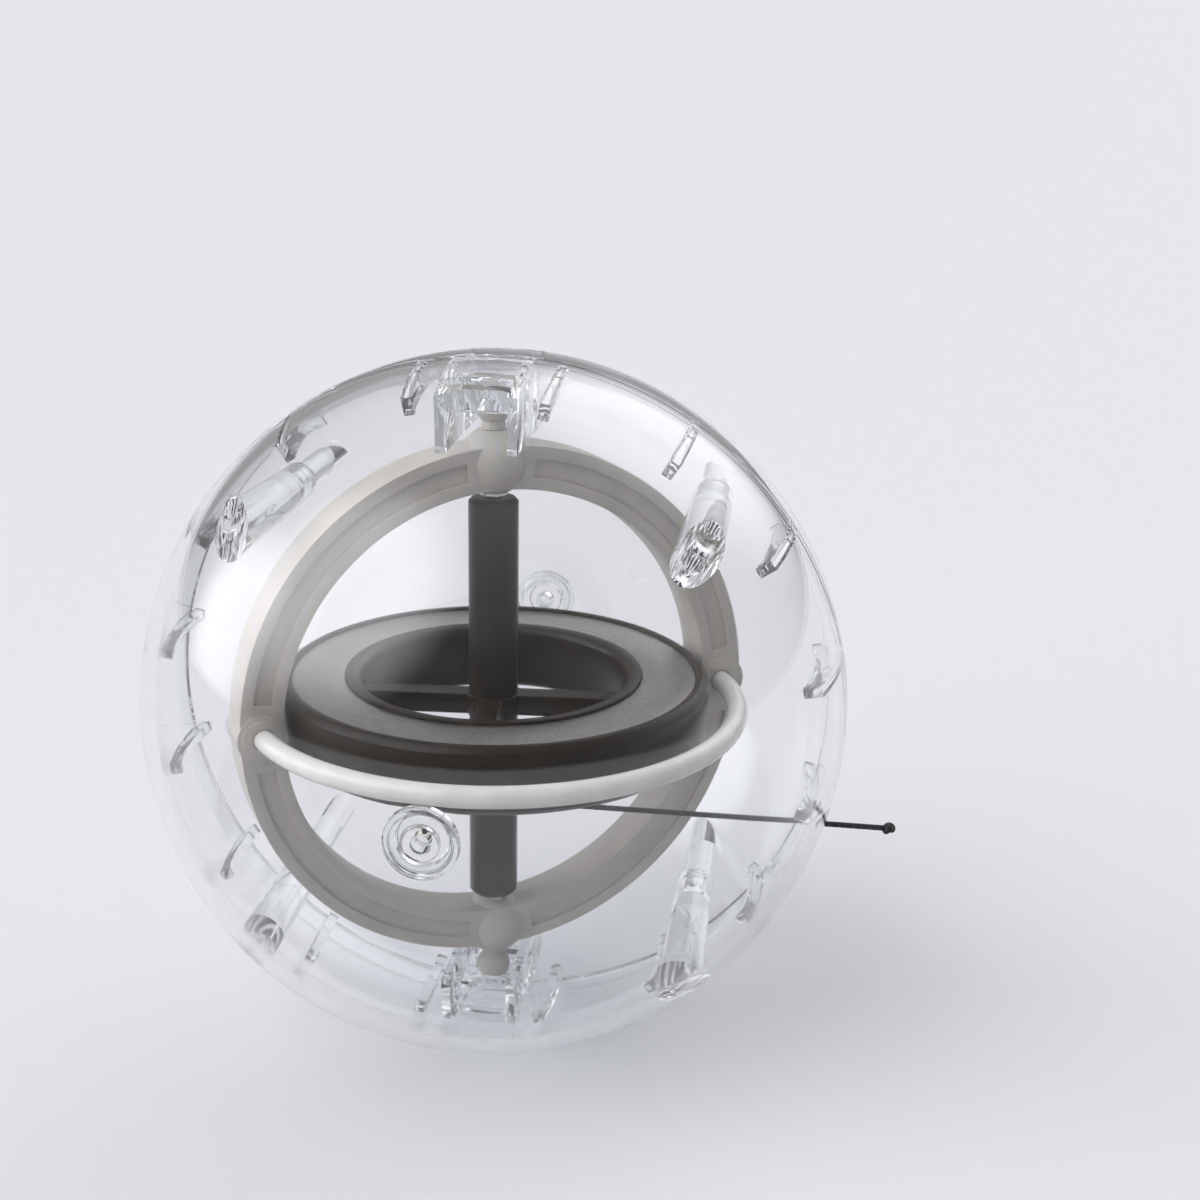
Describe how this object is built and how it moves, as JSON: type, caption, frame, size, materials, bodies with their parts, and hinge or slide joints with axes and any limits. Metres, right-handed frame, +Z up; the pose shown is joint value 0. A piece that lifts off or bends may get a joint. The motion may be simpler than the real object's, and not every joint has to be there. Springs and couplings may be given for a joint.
{
  "type": "gyroscope",
  "caption": "Toy gyroscope with a weighted rotor, guard ring and upright frame ring, held by its feet inside a clear two-part ball with a launch cord.",
  "frame": {"origin": "centre of the ball, where the rotor's spin axis meets the seam plane", "axes": "+Z up along the rotor's spin axis, +Y through the rear pole socket, the seam in the plane Y = 0"},
  "size_m": [0.108, 0.1008, 0.1],
  "materials": {
    "clear_plastic": "clear, polished",
    "frame_plastic": "satin",
    "guard_plastic": "gloss",
    "dark_plastic": "semi-gloss",
    "weight_metal": "brushed",
    "axle_steel": "polished",
    "bearing_metal": "turned",
    "cord_fabric": "braided"
  },
  "bodies": {
    "rear_case": {"rear_shell": "clear_plastic", "rear_pole_plug": "clear_plastic", "rear_upper_cradle": "clear_plastic", "rear_lower_cradle": "clear_plastic", "rear_upper_right_post": "clear_plastic", "rear_upper_left_post": "clear_plastic", "rear_lower_left_post": "clear_plastic", "rear_lower_right_post": "clear_plastic"},
    "front_case": {"front_shell": "clear_plastic", "front_pole_plug": "clear_plastic", "front_upper_cradle": "clear_plastic", "front_lower_cradle": "clear_plastic", "front_upper_right_post": "clear_plastic", "front_upper_left_post": "clear_plastic", "front_lower_left_post": "clear_plastic", "front_lower_right_post": "clear_plastic"},
    "gyro_frame": {"frame_ring": "frame_plastic", "upper_foot": "frame_plastic", "lower_foot": "frame_plastic", "upper_bearing": "bearing_metal", "lower_bearing": "bearing_metal", "front_guard_rod": "guard_plastic", "rear_guard_rod": "guard_plastic"},
    "rotor": {"rotor_wheel": "dark_plastic", "upper_weight_ring": "weight_metal", "lower_weight_ring": "weight_metal", "shaft_tube": "dark_plastic", "axle": "axle_steel"},
    "pull_cord": {"launch_cord": "cord_fabric", "cord_knot": "cord_fabric"}
  },
  "joints": [
    {"name": "front_half_pull", "type": "slide", "parent": "rear_case", "child": "front_case", "axis": [0, -1, 0], "range_m": [0, 0.045]},
    {"name": "frame_swivel", "type": "hinge", "parent": "rear_case", "child": "gyro_frame", "pos_m": [0, 0, 0], "axis": [0, 0, 1], "range_deg": [-20, 140]},
    {"name": "rotor_spin", "type": "hinge", "parent": "gyro_frame", "child": "rotor", "pos_m": [0, 0, 0], "axis": [0, 0, 1], "continuous": true},
    {"name": "cord_pull", "type": "slide", "parent": "rear_case", "child": "pull_cord", "axis": [1, 0, 0], "range_m": [0, 0.04]}
  ]
}
